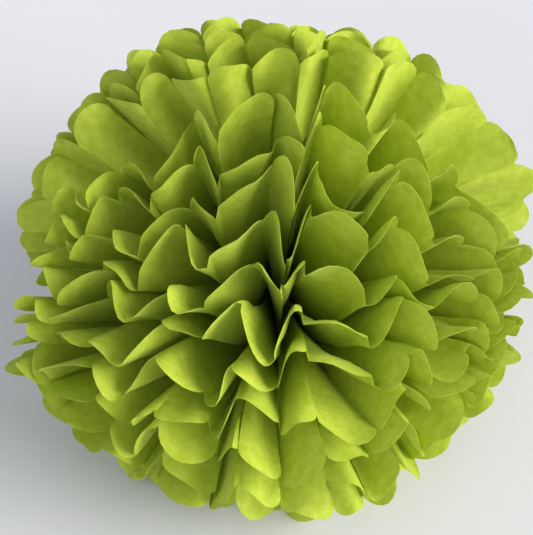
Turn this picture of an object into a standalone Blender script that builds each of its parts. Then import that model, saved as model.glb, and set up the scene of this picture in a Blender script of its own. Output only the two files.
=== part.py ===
"""Tissue paper pom pom, 250 mm across, resting on a table. Metres, +Z up.

Twelve quarter sheets of tissue are laid in a stack, folded together into an accordion strip, tied at
the middle with florist's wire and cut round at both ends. Each half of the strip is then fanned out and
its layers are pulled apart one by one, so that every sheet is one bow tie of two pleated half-discs:
one towards the front (-Y) and one towards the rear (+Y), gathered under the wire between them.
"""

from math import cos, floor, pi, radians, sin, sqrt, tan

import bmesh
import bpy
from mathutils import Vector

# The flat sheets and how they are folded
SHEETS = 12
SHEET_LENGTH = 0.250
SHEET_WIDTH = 0.375
PANELS = 16
WALL = 0.0003
CLEARANCE = 0.0003
LOBE_DEPTH = 0.0080
LOBE_SHOULDER = 0.22

# The gathered waist under the wire
WAIST_LENGTH = 0.007
WAIST_WIDTH = 0.016

# How far each layer is pulled, as the inclination of its middle over the table, in degrees
LOWEST_INCLINE = -41.0
TOP_INCLINE = {"front": 86.0, "rear": 80.0}
INCLINE_EASE = 0.78
CUP = 13.0
SAG = 0.10
TUCK = 0.035

# How the sides of a layer lie: their angle from the cleft, and how much they droop and draw together
SIDE_GAP = 11.0
DROOP = 0.20
FRONT_DROOP = 0.12
LEFT_LIFT = 0.16
DROOP_START, DROOP_FULL = -21.0, 31.0
SKIRT_DROP = 0.60
SKIRT_NARROWING = 0.10
FRONT_NARROWING = 0.20
TOP_NARROWING = {"front": 0.12, "rear": 0.10}

# The pleats: how unevenly they open and lean, how deep they may be, and how the petals curl
UNEVEN_OPENING = 0.42
OPENING_DRIFT = 1.3
HALF_DRIFT = 0.9
UNEVEN_LEAN = 3.0
LEAST_PLEAT = 0.25
STEEPEST = 2.2
SIDE_EASE = 1.5
NARROWEST_RING = 0.35
START_FLAT = 0.012
PLEAT_START = 0.035
PETAL_CURL = 2.9
OPEN_CURL = 0.35
CURL_START = 0.45

# Waves over the opening pleats: turns for a fold, how the phase follows the drift, phase, size
OPENING_WAVES = ((1.9, 1.0, 0.0, 0.42), (0.83, 1.7, 2.0, 0.50))

# Waves over the petals: turns for a fold, for a layer and for the half, phase, size
LEAN_WAVES = ((1.27, 2.4, 0.8, 0.5, 0.6), (2.9, 4.1, 1.7, 1.3, 0.4))
TUCK_WAVES = ((1.6, 1.9, 1.0, 0.0, 0.5), (3.7, 3.1, 0.0, 0.7, 0.5))
CURL_WAVES = ((2.1, 1.3, 1.0, 0.0, 1.0),)

# How far the fluffed ball departs from a sphere, as a share of its radius
WANDER = 0.045

# The table presses the lowest tips flat this far under the tie
TIE_HEIGHT = 0.074

# Florist's wire
WIRE_RADIUS = 0.00045
TWIST_LENGTH = 0.016
TWIST_TURNS = 2.5
TWIST_STEPS = 12
CORNER_STEPS = 3

TISSUE_GREEN = (0.262, 0.402, 0.022, 1.0)
WIRE_GREEN = (0.050, 0.110, 0.035, 1.0)

PANEL_WIDTH = SHEET_WIDTH / PANELS
REACH = (SHEET_LENGTH - WAIST_LENGTH) / 2
LAYER_PITCH = WALL + CLEARANCE
STACK = LAYER_PITCH * (SHEETS - 1) + WALL
ROW_SHARES = (0.0, 0.17, 0.36, 0.78, 1.0)
FORWARD = {"front": -1.0, "rear": 1.0}


def material(name, colour, roughness, metallic):
    made = bpy.data.materials.new(name)
    made.use_nodes = True
    shader = made.node_tree.nodes["Principled BSDF"]
    shader.inputs["Base Color"].default_value = colour
    shader.inputs["Roughness"].default_value = roughness
    shader.inputs["Metallic"].default_value = metallic
    made.diffuse_color = colour
    return made


def smooth(share):
    share = min(max(share, 0.0), 1.0)
    return share * share * (3 - 2 * share)


def incline(sheet, half):
    """The inclination in degrees that a layer's middle is pulled to."""
    share = sheet / (SHEETS - 1)
    return LOWEST_INCLINE + (TOP_INCLINE[half] - LOWEST_INCLINE) * share**INCLINE_EASE


class Half:
    """One half of the folded stack, fanned out and pulled apart into layers.

    Every layer is one page of a book whose spine runs through the tie along X. The pages lean at
    different inclinations, and their pleats rise and fall together, so they stay nested.
    """

    def __init__(self, half):
        self.half = half
        self.forward = FORWARD[half]

    def opened(self, across, raised):
        """Where a fold stands along the fan, counted in even panels, and how far the pleats open there."""
        drift = HALF_DRIFT * self.forward + OPENING_DRIFT * raised
        place, share = across, 1.0
        for turns, follow, phase, size in OPENING_WAVES:
            turned = turns * across + follow * drift + phase
            place += UNEVEN_OPENING * size * sin(turned)
            share += UNEVEN_OPENING * size * turns * cos(turned)
        return place, share

    def uneven(self, waves, layer, across):
        """How one petal of one layer differs from its neighbours, from -1 to 1."""
        return sum(
            size * sin(by_fold * across + by_layer * layer + by_half * self.forward + phase)
            for by_fold, by_layer, by_half, phase, size in waves
        )

    def bent(self, layer, fold, within, distance):
        """The point of a layer at a share of the way from one fold to the next, on its curved page."""
        across = fold + within
        raised = radians(incline(layer, self.half))
        out = distance / REACH
        low = smooth(raised / radians(LOWEST_INCLINE))
        high = smooth(raised / radians(TOP_INCLINE[self.half]))

        place, share = self.opened(across, raised)
        spread = 1 - SKIRT_NARROWING * low - TOP_NARROWING[self.half] * high
        spread -= FRONT_NARROWING * (1 - low) if self.half == "front" else 0.0
        fan = spread * (pi - 2 * radians(SIDE_GAP))
        angle = pi / 2 + ((place + self.forward / 2) / PANELS - 0.5) * fan
        side, ring = cos(angle), sin(angle)

        raised += radians(UNEVEN_LEAN) * self.uneven(LEAN_WAVES, layer, across) * smooth(out)
        droop = DROOP + ((FRONT_DROOP + LEFT_LIFT * side) if self.half == "front" else 0.0)
        drooping = smooth((raised - radians(DROOP_START)) / radians(DROOP_FULL - DROOP_START))
        page = raised * (1 + side**2 * (SKIRT_DROP * low - droop * drooping))

        pitch = WAIST_WIDTH / PANELS + distance * share * fan / PANELS
        folded = sqrt(max(PANEL_WIDTH**2 - pitch**2, (PANEL_WIDTH * LEAST_PLEAT) ** 2))
        steepest = STEEPEST - SIDE_EASE * abs(side)
        depth = min(folded, steepest * pitch) * smooth(distance / PLEAT_START)
        ridge = (1 if fold % 2 else -1) * (1 - 2 * within)
        page += ridge * depth / 2 / (max(distance, START_FLAT) * max(ring, NARROWEST_RING))
        page -= radians(CUP) * sin(min(2 * abs(raised), pi)) * (1 - out) ** 2 * ring**2
        curl = OPEN_CURL + self.uneven(CURL_WAVES, layer, fold)
        page += radians(PETAL_CURL) * curl * sin(pi * within) * smooth((out - CURL_START) / (1 - CURL_START))

        sag = SAG * smooth(raised / radians(LOWEST_INCLINE)) * out**2
        tuck = TUCK * (1 + self.uneven(TUCK_WAVES, layer, across)) * out
        length = distance * (1 - sag - tuck)
        heading = Vector((side, self.forward * ring * cos(page), ring * sin(page)))
        return relaxed(self.start(layer, across) + heading * length)

    def start(self, layer, across):
        """Where a fold line leaves the waist. Each layer bends clear of the one outside it."""
        outer = range(layer + 1, SHEETS)
        stagger = sum(LAYER_PITCH * tan(radians(incline(other, self.half)) / 2) for other in outer)
        return Vector((
            WAIST_WIDTH * (0.5 - across / PANELS),
            self.forward * (WAIST_LENGTH / 2 + max(stagger, 0.0)),
            LAYER_PITCH * (layer - (SHEETS - 1) / 2),
        ))


def relaxed(point):
    """How the fluffed ball departs from a sphere, as one smooth flow of all its layers."""
    x, y, z = (value / (SHEET_LENGTH / 2) for value in point)
    slow = WANDER * min(sqrt(x * x + y * y + z * z), 1.0) ** 2
    x += slow * (sin(3.1 * y + 2.0 * z + 0.4) + 0.6 * sin(5.3 * z - 2.2 * x + 1.0))
    y += slow * sin(2.7 * x - 3.3 * z + 2.2)
    z += slow * (0.7 * sin(3.6 * x + 2.4 * y + 0.9) + 0.5 * sin(5.9 * x - 3.1 * y))
    return Vector((x, y, z)) * (SHEET_LENGTH / 2)


def lobe_cut(within):
    """How much the rounded end of a panel is cut back, across the panel."""
    return LOBE_DEPTH * (1 - sqrt(max(1 - (2 * within - 1) ** 2, 0.0)))


def flat_sheet(mesh_builder):
    """A grid with a column for each panel, whose two cut ends have extra points for the lobes."""
    rows = 2 * (len(ROW_SHARES) - 1) + 1
    bmesh.ops.create_grid(mesh_builder, x_segments=PANELS, y_segments=rows, size=0.5)
    ends = [e for e in mesh_builder.edges if all(abs(abs(v.co.y) - 0.5) < 1e-6 for v in e.verts)]
    bmesh.ops.subdivide_edges(mesh_builder, edges=ends, cuts=2)
    return rows


def sheet(number, halves, collection, paper):
    builder = bmesh.new()
    rows = flat_sheet(builder)
    for vertex in builder.verts:
        across = (vertex.co.x + 0.5) * PANELS
        row = round((vertex.co.y + 0.5) * rows)
        half = "front" if row < rows / 2 else "rear"
        step = (rows - 1) // 2 - row if half == "front" else row - (rows + 1) // 2
        distance = REACH * ROW_SHARES[step]
        if step == len(ROW_SHARES) - 1:
            within = across % 1
            if 0.1 < within < 0.9:
                across += (LOBE_SHOULDER if within < 0.5 else 1 - LOBE_SHOULDER) - within
            distance -= lobe_cut(across % 1)
        fold = min(floor(across + 1e-4), PANELS - 1)
        vertex.co = halves[half].bent(number, fold, across - fold, distance)
    bmesh.ops.recalc_face_normals(builder, faces=builder.faces)
    mesh = bpy.data.meshes.new(f"tissue_sheet_{number + 1:02d}")
    builder.to_mesh(mesh)
    builder.free()
    for vertex in mesh.vertices:
        vertex.co.z = max(vertex.co.z, -TIE_HEIGHT)
    made = bpy.data.objects.new(mesh.name, mesh)
    collection.objects.link(made)
    mesh.materials.append(paper)
    wall = made.modifiers.new("wall", "SOLIDIFY")
    wall.thickness = WALL
    wall.offset = 0
    return made


def wire_tie(collection, metal):
    """One length of wire, round the waist and twisted together under it."""
    steps = [step / TWIST_STEPS for step in range(TWIST_STEPS + 1)]
    points = [twist_point(share, 0) for share in reversed(steps)]
    points += loop_points()
    points += [twist_point(share, pi) for share in steps]
    curve = bpy.data.curves.new("wire_tie", "CURVE")
    curve.dimensions = "3D"
    curve.bevel_depth = WIRE_RADIUS
    curve.bevel_resolution = 2
    curve.use_fill_caps = True
    spline = curve.splines.new("POLY")
    spline.points.add(len(points) - 1)
    for target, place in zip(spline.points, points):
        target.co = (*place, 1)
    curve.materials.append(metal)
    made = bpy.data.objects.new("wire_tie", curve)
    collection.objects.link(made)
    return made


def loop_points():
    """Round the stack of layers at a clearance, with a quarter turn at each of its corners."""
    turn = CLEARANCE + WIRE_RADIUS
    points = []
    for corner in range(4):
        quarter = -pi / 2 + corner * pi / 2
        right = 1 if corner in (0, 1) else -1
        up = 1 if corner in (1, 2) else -1
        for step in range(CORNER_STEPS + 1):
            angle = quarter + pi / 2 * step / CORNER_STEPS
            points.append((
                right * WAIST_WIDTH / 2 + turn * cos(angle),
                0.0,
                up * STACK / 2 + turn * sin(angle),
            ))
    return points


def twist_point(share, phase):
    """A point of one of the two strands that wind round each other below the waist."""
    strand = WIRE_RADIUS + CLEARANCE / 2
    angle = phase + 2 * pi * TWIST_TURNS * share
    drop = STACK / 2 + 2 * (CLEARANCE + WIRE_RADIUS) + TWIST_LENGTH * share
    return (strand * cos(angle), strand * sin(angle), -drop)


def stand_on_origin(objects):
    """Move the whole pom pom so that it stands on z = 0, centred on the origin."""
    depsgraph = bpy.context.evaluated_depsgraph_get()
    corners = []
    for made in objects:
        shape = made.evaluated_get(depsgraph).to_mesh()
        corners += [made.matrix_world @ vertex.co for vertex in shape.vertices]
    low = [min(corner[axis] for corner in corners) for axis in range(3)]
    high = [max(corner[axis] for corner in corners) for axis in range(3)]
    shift = Vector((-(low[0] + high[0]) / 2, -(low[1] + high[1]) / 2, -low[2]))
    for made in objects:
        made.location += shift


def main():
    for old in list(bpy.data.objects):
        bpy.data.objects.remove(old)
    collection = bpy.data.collections.new("tissue_paper_pom_pom")
    bpy.context.scene.collection.children.link(collection)
    paper = material("tissue_green", TISSUE_GREEN, 0.85, 0.0)
    metal = material("wire_green", WIRE_GREEN, 0.45, 0.0)
    halves = {half: Half(half) for half in FORWARD}
    pieces = [sheet(number, halves, collection, paper) for number in range(SHEETS)]
    pieces.append(wire_tie(collection, metal))
    bpy.context.view_layer.update()
    stand_on_origin(pieces)


main()
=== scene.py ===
from math import cos, pi, radians, sin, tan

import bpy
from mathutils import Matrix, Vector


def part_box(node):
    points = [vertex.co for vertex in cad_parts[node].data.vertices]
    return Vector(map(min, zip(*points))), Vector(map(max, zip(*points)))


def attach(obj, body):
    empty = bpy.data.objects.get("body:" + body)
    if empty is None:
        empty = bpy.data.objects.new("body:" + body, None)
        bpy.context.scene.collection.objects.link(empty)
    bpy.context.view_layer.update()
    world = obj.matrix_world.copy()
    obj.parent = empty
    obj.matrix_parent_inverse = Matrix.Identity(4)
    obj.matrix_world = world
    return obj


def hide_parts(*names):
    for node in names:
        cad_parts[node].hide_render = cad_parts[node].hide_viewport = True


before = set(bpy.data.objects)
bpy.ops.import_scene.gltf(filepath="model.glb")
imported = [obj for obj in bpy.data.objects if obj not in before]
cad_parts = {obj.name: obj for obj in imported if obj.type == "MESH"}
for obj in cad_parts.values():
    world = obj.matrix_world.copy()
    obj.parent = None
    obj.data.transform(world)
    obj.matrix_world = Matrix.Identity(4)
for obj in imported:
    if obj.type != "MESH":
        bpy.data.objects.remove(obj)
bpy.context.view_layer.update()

# Twelve quarter sheets of green tissue paper, laid in a stack, pleated together into a strip, tied
# at the middle and cut round at both ends. Each layer is then pulled up from the table as a bow tie
# of two pleated half-discs, one towards the front and one towards the rear.
SHEETS = 12
SHEET_LENGTH = 0.250
SHEET_WIDTH = 0.375
PANELS = 16
LOBE_DEPTH = 0.0080
TISSUE_WALL = 0.00012
POINTS_ACROSS_PANEL = 10
ROWS = 97
RIM_ANGLE = radians(50)

WAIST_LENGTH = 0.007
WAIST_WIDTH = 0.016
LAYER_PITCH = 0.0006
TIE_BELOW_WIRE_TOP = 0.00465

LOWEST_INCLINE = -41.0
TOP_INCLINE = {"front": 86.0, "rear": 80.0}
INCLINE_EASE = 0.78

wire_low, wire_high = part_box("wire_tie")
TIE = Vector((
    (wire_low.x + wire_high.x) / 2,
    (wire_low.y + wire_high.y) / 2,
    wire_high.z - TIE_BELOW_WIRE_TOP,
))


def incline(layer, half):
    """How far a layer's half rises from the level, in degrees."""
    share = layer / (SHEETS - 1)
    return LOWEST_INCLINE + (TOP_INCLINE[half] - LOWEST_INCLINE) * share**INCLINE_EASE


def stagger_of(layer, half):
    """How far out a layer leaves the waist, so that it clears the layers folded up above it."""
    outer = range(layer + 1, SHEETS)
    total = sum(LAYER_PITCH * tan(radians(incline(other, half)) / 2) for other in outer)
    return max(total, 0.0)


class Field:
    """A number that varies over the paper, worked out by the nodes of a tree."""

    tree = None

    def __init__(self, socket):
        self.socket = socket

    @classmethod
    def node(cls, operation, *values):
        made = cls.tree.nodes.new("ShaderNodeMath")
        made.operation = operation
        for slot, value in zip(made.inputs, values):
            if isinstance(value, Field):
                cls.tree.links.new(value.socket, slot)
            else:
                slot.default_value = value
        return Field(made.outputs[0])

    def __add__(self, other):
        return Field.node("ADD", self, other)

    def __sub__(self, other):
        return Field.node("SUBTRACT", self, other)

    def __mul__(self, other):
        return Field.node("MULTIPLY", self, other)

    def __truediv__(self, other):
        return Field.node("DIVIDE", self, other)

    def __rsub__(self, other):
        return Field.node("SUBTRACT", other, self)

    def __rtruediv__(self, other):
        return Field.node("DIVIDE", other, self)

    def __neg__(self):
        return Field.node("MULTIPLY", self, -1.0)

    __radd__ = __add__
    __rmul__ = __mul__


def sine(x):
    return Field.node("SINE", x)


def cosine(x):
    return Field.node("COSINE", x)


def root(x):
    return Field.node("SQRT", x)


def most(x, y):
    return Field.node("MAXIMUM", x, y)


def least(x, y):
    return Field.node("MINIMUM", x, y)


def magnitude(x):
    return Field.node("ABSOLUTE", x)


def floor_of(x):
    return Field.node("FLOOR", x)


def sign_of(x):
    return Field.node("SIGN", x)


def smooth(x):
    """An eased step that leaves 0 where x is 0 and reaches 1 where x is 1."""
    x = most(least(x, 1.0), 0.0)
    return x * x * (3.0 - 2.0 * x)


# How unevenly the pleats are pulled open. A wave is its share, its turn a panel, its turn with the
# drift from layer to layer, and its start.
OPENING_WAVES = ((0.42, 1.9, 1.0, 0.0), (0.50, 0.83, 1.7, 2.0))
SKEW_WAVE = (0.17, 0.55, 1.3, 0.7)
HALF_DRIFT = 0.9
LAYER_DRIFT = 1.3
REAR_OPENING = 0.45
REAR_SKEW = 0.5
LEAST_OPENING = 0.15
END_GAP = radians(7)
FRONT_NARROWING = 0.18
FRONT_TOP_NARROWING = 0.10
REAR_TOP_NARROWING = 0.12

# How the layers lean and hang, where the skirt is what lies below the level. A wave is its share,
# its turn a panel, its turn a layer, its turn from half to half, and its start.
SKIRT_RANGE = 0.72
REAR_TOP_RANGE = 1.396
FRONT_TOP_RANGE = 1.396 + 0.105
LEAN_WAVES = ((0.6, 1.27, 2.4, 0.8, 0.5), (0.4, 2.9, 4.1, 1.7, 1.3))
REAR_DROOP = 0.20
FRONT_DROOP = 0.12
RIGHT_DROOP = 0.16
DROOP_START = 0.3665
DROOP_RANGE = 0.9076
SKIRT_SIDE_DROP = 0.6
TUCK_WAVES = ((0.5, 1.6, 1.9, 1.0, 0.0), (0.5, 3.7, 3.1, 0.0, 0.7))
TUCK = 0.035
SKIRT_SAG = 0.10

# How deep and how sharp the folds are, and how the paper between them is cupped, curled and
# cockled.
LEAST_PLEAT = 0.06
STEEPEST = 2.4
SIDE_EASE = 1.8
SKIRT_STEEPER = 1.2
TIE_STEEPER = 3.0
TIE_STEEPER_REACH = 0.070
FREE_EDGE = 0.35
PLEAT_START = 0.022
FOLD_ROUNDNESS = 0.2
RIM_ROUNDNESS = 0.6
LEAST_RADIUS = 0.006
LEAST_RING = 0.35
CUP = radians(21)
CURL_MEAN = 0.35
CURL_TURN = (2.1, 1.3)
CURL_START = 0.45
COCKLE_HEIGHT = 0.0045
COCKLES = ((9.7, 7.0, 2.3), (5.3, -15.0, 1.1))


def uneven(waves, across, layer, forward):
    total = 0.0
    for share, per_panel, per_layer, per_half, start in waves:
        turn = across * per_panel + layer * per_layer + forward * per_half + start
        total = total + sine(turn) * share
    return total


def page_rule(fold, within, away, forward, raised, layer, sizes):
    """Where a point of the paper lies, from its place on the flat sheet.

    fold counts the panels from the right edge and within is the share across one. away is the
    distance from the waist's edge, forward is -1 in the front half and 1 in the rear half, and
    raised is the layer's inclination.
    """
    across = fold + within
    panels = sizes["Panels"]
    out = away / sizes["Reach"]
    front = (1.0 - forward) / 2.0
    low = smooth(-raised / SKIRT_RANGE)
    high = smooth(raised / (REAR_TOP_RANGE + front * (FRONT_TOP_RANGE - REAR_TOP_RANGE)))

    drift = forward * HALF_DRIFT + raised * LAYER_DRIFT
    slack = sizes["Uneven opening"] * (REAR_OPENING + (1.0 - REAR_OPENING) * front)
    parity = 1.0 - 4.0 * (fold / 2.0 - floor_of(fold / 2.0))
    share, per_panel, per_drift, start = SKEW_WAVE
    skew = sine(across * per_panel + drift * per_drift + start) * share
    skew = skew * (REAR_SKEW + (1.0 - REAR_SKEW) * front)
    shift = stretch = 0.0
    for share, per_panel, per_drift, start in OPENING_WAVES:
        turn = across * per_panel + drift * per_drift + start
        shift = shift + sine(turn) * share
        stretch = stretch + cosine(turn) * (share * per_panel)
    opened = across + shift * slack + skew * parity * (1.0 - 2.0 * within)
    opening = most(1.0 + stretch * slack - skew * parity * 2.0, LEAST_OPENING)
    span = pi - 2 * END_GAP
    spread = 1.0 - front * ((1.0 - low) * FRONT_NARROWING + high * FRONT_TOP_NARROWING)
    spread = spread - (1.0 - front) * (high * REAR_TOP_NARROWING)
    angle = ((opened + forward / 2.0) / panels * span + END_GAP - pi / 2) * spread + pi / 2
    side = cosine(angle)
    side_square = side * side

    leaning = uneven(LEAN_WAVES, across, layer, forward)
    raised = raised + leaning * smooth(out) * sizes["Uneven lean"]
    droop = REAR_DROOP + front * (FRONT_DROOP + side * RIGHT_DROOP)
    drooping = droop * side_square * smooth((raised + DROOP_START) / DROOP_RANGE)
    page = raised * (1.0 - drooping + SKIRT_SIDE_DROP * side_square * low)

    pitch = sizes["Waist width"] / panels + away * opening * (span / panels) * spread
    width = sizes["Sheet width"] / panels
    folded = root(most(width * width - pitch * pitch, width * width * LEAST_PLEAT))
    steepest = STEEPEST - SIDE_EASE * magnitude(side) + SKIRT_STEEPER * low
    steepest = steepest + TIE_STEEPER * (1.0 - smooth(away / TIE_STEEPER_REACH))
    free_edge = FREE_EDGE + (1.0 - FREE_EDGE) * smooth(least(across, panels - across))
    depth = least(folded, pitch * steepest) * smooth(away / PLEAT_START) * free_edge
    rounded = FOLD_ROUNDNESS + RIM_ROUNDNESS * smooth(out)
    ridge = (2.0 * within - 1.0) * (1.0 - rounded) - cosine(within * pi) * rounded
    ridge = parity * ridge
    radius = most(away, LEAST_RADIUS) * most(sine(angle), LEAST_RING)
    page = page + ridge * depth / 2.0 / radius

    cup = CUP * sine(most(least(magnitude(raised) * 2.0, pi), 0.0)) * smooth(1.0 - out)
    page = page - cup * (1.0 - side_square)
    per_fold, per_layer = CURL_TURN
    curl = CURL_MEAN + sine(fold * per_fold + layer * per_layer + forward)
    curled = sine(within * pi) * smooth((out - CURL_START) / (1.0 - CURL_START))
    page = page + curl * curled * sizes["Petal curl"]
    cockle = 0.0
    for per_panel, per_reach, per_layer in COCKLES:
        cockle = cockle + sine(across * per_panel + out * per_reach + layer * per_layer)
    page = page + cockle * smooth(out) * COCKLE_HEIGHT

    tuck = uneven(TUCK_WAVES, across, layer, forward)
    sag = 1.0 - SKIRT_SAG * smooth(-raised / SKIRT_RANGE) * out * out - TUCK * (1.0 + tuck) * out
    ring = sine(angle)
    length = away * sag
    return side * length, ring * cosine(page) * forward * length, ring * sine(page) * length


# How the fluffed ball departs from a sphere, as one flow of all its layers. A wave is its share,
# its turns along x, y and z over the ball's radius, and its start.
BALL_RADIUS = 0.125
BALL_SLUMP = 0.045
FLOW_X = ((1.0, (0.0, 3.1, 2.0), 0.4), (0.6, (-2.2, 0.0, 5.3), 1.0))
FLOW_Y = ((1.0, (2.7, 0.0, -3.3), 2.2),)
FLOW_Z = ((0.7, (3.6, 2.4, 0.0), 0.9), (0.5, (5.9, -3.1, 0.0), 0.0))


def flow(waves, x, y, z):
    total = 0.0
    for share, (by_x, by_y, by_z), start in waves:
        total = total + sine(x * by_x + y * by_y + z * by_z + start) * share
    return total


def relaxed(x, y, z):
    x, y, z = x / BALL_RADIUS, y / BALL_RADIUS, z / BALL_RADIUS
    far = least(root(x * x + y * y + z * z), 1.0)
    slump = far * far * BALL_SLUMP
    x = x + slump * flow(FLOW_X, x, y, z)
    y = y + slump * flow(FLOW_Y, x, y, z)
    z = z + slump * flow(FLOW_Z, x, y, z)
    return x * BALL_RADIUS, y * BALL_RADIUS, z * BALL_RADIUS


TABLE_CLEARANCE = 0.0002
FOLD_MARGIN = 0.0001
MIDDLE_MARGIN = 0.00001


def folded_sheet_tree(paper):
    """The tree that folds one flat sheet into a layer of the pom pom."""
    tree = bpy.data.node_groups.new("folded_tissue_sheet", "GeometryNodeTree")
    tree.interface.new_socket("Geometry", in_out="OUTPUT", socket_type="NodeSocketGeometry")
    sizes = {
        "Sheet width": SHEET_WIDTH,
        "Reach": (SHEET_LENGTH - WAIST_LENGTH) / 2,
        "Waist width": WAIST_WIDTH,
        "Waist length": WAIST_LENGTH,
        "Panels": float(PANELS),
        "Layer pitch": LAYER_PITCH,
        "Lobe depth": LOBE_DEPTH,
        "Uneven opening": 0.42,
        "Uneven lean": 0.0524,
        "Petal curl": 0.0506,
        "Layer": 0.0,
        "Front incline": 0.0,
        "Rear incline": 0.0,
        "Front stagger": 0.0,
        "Rear stagger": 0.0,
    }
    inputs = {}
    for name, value in sizes.items():
        socket = tree.interface.new_socket(name, in_out="INPUT", socket_type="NodeSocketFloat")
        socket.default_value = value
        inputs[name] = socket.identifier
    Field.tree = tree
    group_in = tree.nodes.new("NodeGroupInput")
    group_out = tree.nodes.new("NodeGroupOutput")
    given = {name: Field(group_in.outputs[name]) for name in sizes}

    grid = tree.nodes.new("GeometryNodeMeshGrid")
    grid.inputs["Size X"].default_value = 1.0
    grid.inputs["Size Y"].default_value = 2.0
    grid.inputs["Vertices X"].default_value = PANELS * POINTS_ACROSS_PANEL + 1
    grid.inputs["Vertices Y"].default_value = ROWS
    keep = tree.nodes.new("GeometryNodeStoreNamedAttribute")
    keep.data_type = "FLOAT2"
    keep.domain = "CORNER"
    keep.inputs["Name"].default_value = "flat"
    tree.links.new(grid.outputs["Mesh"], keep.inputs["Geometry"])
    tree.links.new(grid.outputs["UV Map"], keep.inputs["Value"])
    place = tree.nodes.new("GeometryNodeInputPosition")
    parts = tree.nodes.new("ShaderNodeSeparateXYZ")
    tree.links.new(place.outputs[0], parts.inputs[0])
    flat_x, flat_y = Field(parts.outputs[0]), Field(parts.outputs[1])

    counted = (flat_x + 0.5) * given["Panels"]
    fold = floor_of(least(counted + FOLD_MARGIN, PANELS - 10 * FOLD_MARGIN))
    within = counted - fold
    crowded = (1.0 - cosine(within * pi)) / 2.0
    across = fold + crowded
    forward = sign_of(flat_y + MIDDLE_MARGIN)
    front = (1.0 - forward) / 2.0
    raised = front * given["Front incline"] + (1.0 - front) * given["Rear incline"]
    stagger = front * given["Front stagger"] + (1.0 - front) * given["Rear stagger"]

    half_waist = given["Waist length"] / 2.0
    cut = given["Lobe depth"] * (1.0 - sine(within * pi))
    edge = given["Reach"] + half_waist
    away_flat = magnitude(flat_y) * (edge - cut)
    away = most(away_flat - half_waist, 0.0)
    waist = least(away_flat, half_waist) / half_waist
    x, y, z = page_rule(fold, crowded, away, forward, raised, given["Layer"], given)
    x, y, z = relaxed(
        x + given["Waist width"] * (0.5 - across / given["Panels"]),
        y + forward * waist * (half_waist + stagger),
        z + given["Layer pitch"] * (given["Layer"] - (SHEETS - 1) / 2),
    )
    joined = tree.nodes.new("ShaderNodeCombineXYZ")
    laid = (x + TIE.x, y + TIE.y, most(z + TIE.z, TABLE_CLEARANCE))
    for slot, value in zip(joined.inputs, laid):
        tree.links.new(value.socket, slot)
    fold_up = tree.nodes.new("GeometryNodeSetPosition")
    tree.links.new(keep.outputs["Geometry"], fold_up.inputs["Geometry"])
    tree.links.new(joined.outputs[0], fold_up.inputs["Position"])
    realize = tree.nodes.new("GeometryNodeRealizeInstances")
    tree.links.new(fold_up.outputs["Geometry"], realize.inputs["Geometry"])
    finish = tree.nodes.new("GeometryNodeSetMaterial")
    finish.inputs["Material"].default_value = paper
    tree.links.new(realize.outputs["Geometry"], finish.inputs["Geometry"])
    tree.links.new(finish.outputs["Geometry"], group_out.inputs["Geometry"])
    return tree, inputs


def set_inputs(node, **values):
    """Sets sockets that are named in words, with _ for each space."""
    for name, value in values.items():
        node.inputs[name.replace("_", " ")].default_value = value


def two_tone(nodes, dark, light):
    """A ramp that turns a noise into two near colours."""
    ramp = nodes.new("ShaderNodeValToRGB")
    for stop, position, colour in zip(ramp.color_ramp.elements, (0.35, 0.65), (dark, light)):
        stop.position = position
        stop.color = (*colour, 1)
    return ramp


def tissue_material():
    paper = bpy.data.materials.new("green_tissue")
    paper.use_nodes = True
    nodes, links = paper.node_tree.nodes, paper.node_tree.links
    face = nodes["Principled BSDF"]
    set_inputs(face, Roughness=0.62, Specular_IOR_Level=0.32)
    set_inputs(face, Sheen_Weight=0.12, Sheen_Roughness=0.45, Sheen_Tint=(0.86, 1.0, 0.55, 1))
    through = nodes.new("ShaderNodeBsdfTranslucent")
    mix = nodes.new("ShaderNodeMixShader")
    set_inputs(mix, Fac=0.25)
    where = nodes.new("ShaderNodeTexCoord")
    fibre = nodes.new("ShaderNodeTexNoise")
    set_inputs(fibre, Scale=220.0, Detail=8.0, Roughness=0.62)
    links.new(where.outputs["Object"], fibre.inputs["Vector"])
    crinkle = nodes.new("ShaderNodeTexNoise")
    set_inputs(crinkle, Scale=130.0, Detail=9.0, Roughness=0.66, Distortion=0.6)
    links.new(where.outputs["Object"], crinkle.inputs["Vector"])
    bump = nodes.new("ShaderNodeBump")
    set_inputs(bump, Strength=0.16, Distance=0.0012)
    links.new(crinkle.outputs["Fac"], bump.inputs["Height"])
    links.new(bump.outputs["Normal"], face.inputs["Normal"])
    links.new(bump.outputs["Normal"], through.inputs["Normal"])
    ramp = two_tone(nodes, (0.54, 0.65, 0.045), (0.66, 0.76, 0.090))
    links.new(fibre.outputs["Fac"], ramp.inputs["Fac"])
    links.new(ramp.outputs["Color"], face.inputs["Base Color"])
    links.new(ramp.outputs["Color"], through.inputs["Color"])
    links.new(face.outputs[0], mix.inputs[1])
    links.new(through.outputs[0], mix.inputs[2])
    links.new(mix.outputs[0], nodes["Material Output"].inputs["Surface"])
    return paper


paper = tissue_material()
tree, tree_inputs = folded_sheet_tree(paper)

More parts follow.
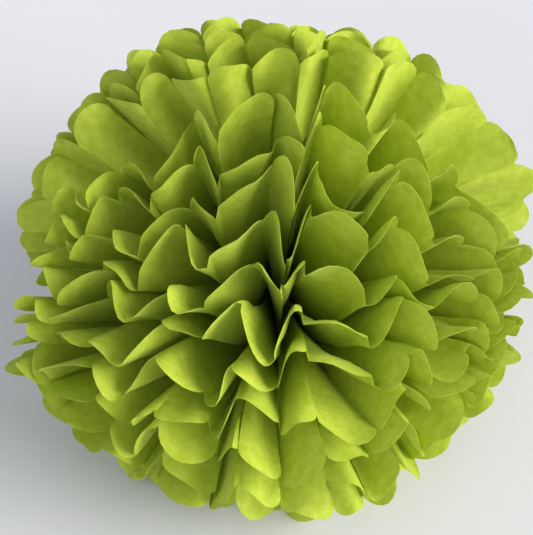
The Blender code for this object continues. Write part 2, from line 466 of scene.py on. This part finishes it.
for layer in range(SHEETS):
    node = f"tissue_sheet_{layer + 1:02d}"
    holder = bpy.data.objects.new(f"flat_{node}", bpy.data.meshes.new("flat"))
    bpy.context.scene.collection.objects.link(holder)
    folder = holder.modifiers.new("folds", "NODES")
    folder.node_group = tree
    folder[tree_inputs["Layer"]] = float(layer)
    folder[tree_inputs["Front incline"]] = radians(incline(layer, "front"))
    folder[tree_inputs["Rear incline"]] = radians(incline(layer, "rear"))
    folder[tree_inputs["Front stagger"]] = stagger_of(layer, "front")
    folder[tree_inputs["Rear stagger"]] = stagger_of(layer, "rear")
    wall = holder.modifiers.new("wall", "SOLIDIFY")
    wall.thickness = TISSUE_WALL
    wall.offset = 0
    bpy.context.view_layer.update()
    evaluated = holder.evaluated_get(bpy.context.evaluated_depsgraph_get())
    mesh = bpy.data.meshes.new_from_object(evaluated)
    bpy.data.objects.remove(holder)
    mesh.polygons.foreach_set("use_smooth", [True] * len(mesh.polygons))
    mesh.set_sharp_from_angle(angle=RIM_ANGLE)
    piece = bpy.data.objects.new(f"tissue_layer_{layer + 1:02d}", mesh)
    bpy.context.scene.collection.objects.link(piece)
    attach(piece, "root")
    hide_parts(node)

# Florist's wire, steel under dark green enamel, wound once round the waist of the stack and
# twisted together under it. It holds all the sheets, and only its finish is made here.
enamel = bpy.data.materials.new("green_enamel")
enamel.use_nodes = True
coat_nodes, coat_links = enamel.node_tree.nodes, enamel.node_tree.links
coat = coat_nodes["Principled BSDF"]
set_inputs(coat, Roughness=0.38, Coat_Weight=0.25, Coat_Roughness=0.3)
coat_place = coat_nodes.new("ShaderNodeTexCoord")
coat_grain = coat_nodes.new("ShaderNodeTexNoise")
set_inputs(coat_grain, Scale=900.0, Detail=6.0)
coat_links.new(coat_place.outputs["Object"], coat_grain.inputs["Vector"])
coat_colour = two_tone(coat_nodes, (0.035, 0.085, 0.025), (0.06, 0.13, 0.04))
coat_links.new(coat_grain.outputs["Fac"], coat_colour.inputs["Fac"])
coat_links.new(coat_colour.outputs["Color"], coat.inputs["Base Color"])
coat_bump = coat_nodes.new("ShaderNodeBump")
set_inputs(coat_bump, Strength=0.2, Distance=0.0001)
coat_links.new(coat_grain.outputs["Fac"], coat_bump.inputs["Height"])
coat_links.new(coat_bump.outputs["Normal"], coat.inputs["Normal"])
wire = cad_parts["wire_tie"]
wire.data.materials.clear()
wire.data.materials.append(enamel)

# The pale matte table that the pom pom rests on, the pale room behind it, and the soft daylight
# from the right with a little fill from the front on the left.
TABLE_REACH = 6
TABLE_CORNERS = [(-1, -1), (1, -1), (1, 1), (-1, 1)]
LIGHT_SPREAD = radians(52)

table_mesh = bpy.data.meshes.new("table")
table_points = [(x * TABLE_REACH, y * TABLE_REACH, 0) for x, y in TABLE_CORNERS]
table_mesh.from_pydata(table_points, [], [(0, 1, 2, 3)])
table = bpy.data.objects.new("table", table_mesh)
bpy.context.scene.collection.objects.link(table)
white = bpy.data.materials.new("pale_table")
white.use_nodes = True
table_top = white.node_tree.nodes["Principled BSDF"]
set_inputs(table_top, Base_Color=(0.76, 0.76, 0.775, 1), Roughness=0.9, Specular_IOR_Level=0.08)
table_mesh.materials.append(white)

world = bpy.data.worlds.new("room")
bpy.context.scene.world = world
world.use_nodes = True
room_nodes, room_links = world.node_tree.nodes, world.node_tree.links
daylight = room_nodes["Background"]
set_inputs(daylight, Color=(0.86, 0.90, 1.0, 1), Strength=0.54)
backdrop = room_nodes.new("ShaderNodeBackground")
set_inputs(backdrop, Color=(0.82, 0.83, 0.86, 1), Strength=1.0)
ray = room_nodes.new("ShaderNodeLightPath")
seen = room_nodes.new("ShaderNodeMath")
seen.operation = "MAXIMUM"
room_links.new(ray.outputs["Is Camera Ray"], seen.inputs[0])
room_links.new(ray.outputs["Is Glossy Ray"], seen.inputs[1])
room_mix = room_nodes.new("ShaderNodeMixShader")
room_links.new(seen.outputs[0], room_mix.inputs[0])
room_links.new(daylight.outputs[0], room_mix.inputs[1])
room_links.new(backdrop.outputs[0], room_mix.inputs[2])
room_links.new(room_mix.outputs[0], room_nodes["World Output"].inputs["Surface"])


def soft_light(name, side, strength, colour):
    light = bpy.data.lights.new(name, "SUN")
    light.angle = LIGHT_SPREAD
    light.energy = strength
    light.color = colour
    lamp = bpy.data.objects.new(name, light)
    lamp.location = side
    lamp.rotation_euler = Vector(side).to_track_quat("Z", "Y").to_euler()
    bpy.context.scene.collection.objects.link(lamp)


soft_light("window", (5.0, -1.5, 2.5), 3.9, (1.0, 0.98, 0.94))
soft_light("room_fill", (-2.0, -5.2, 2.8), 0.55, (0.95, 0.97, 1.0))

# The camera stands in front of the table and looks down at the tie, which lies a little right of
# and below the middle of the picture.
PICTURE = (533, 535)
TIE_IN_PICTURE = (272, 275)
FOCAL_PIXELS = 1495
SENSOR_WIDTH = 36
CAMERA_HEIGHT = radians(48)
CAMERA_DISTANCE = 0.722

view = bpy.data.cameras.new("camera")
view.sensor_width = SENSOR_WIDTH
view.lens = SENSOR_WIDTH * FOCAL_PIXELS / PICTURE[0]
view.shift_x = (PICTURE[0] / 2 - TIE_IN_PICTURE[0]) / PICTURE[1]
view.shift_y = (TIE_IN_PICTURE[1] - PICTURE[1] / 2) / PICTURE[1]
camera = bpy.data.objects.new("camera", view)
camera.location = TIE + CAMERA_DISTANCE * Vector((0, -cos(CAMERA_HEIGHT), sin(CAMERA_HEIGHT)))
camera.rotation_euler = (TIE - camera.location).to_track_quat("-Z", "Y").to_euler()
bpy.context.scene.collection.objects.link(camera)
bpy.context.scene.camera = camera
bpy.context.scene.view_settings.view_transform = "Standard"
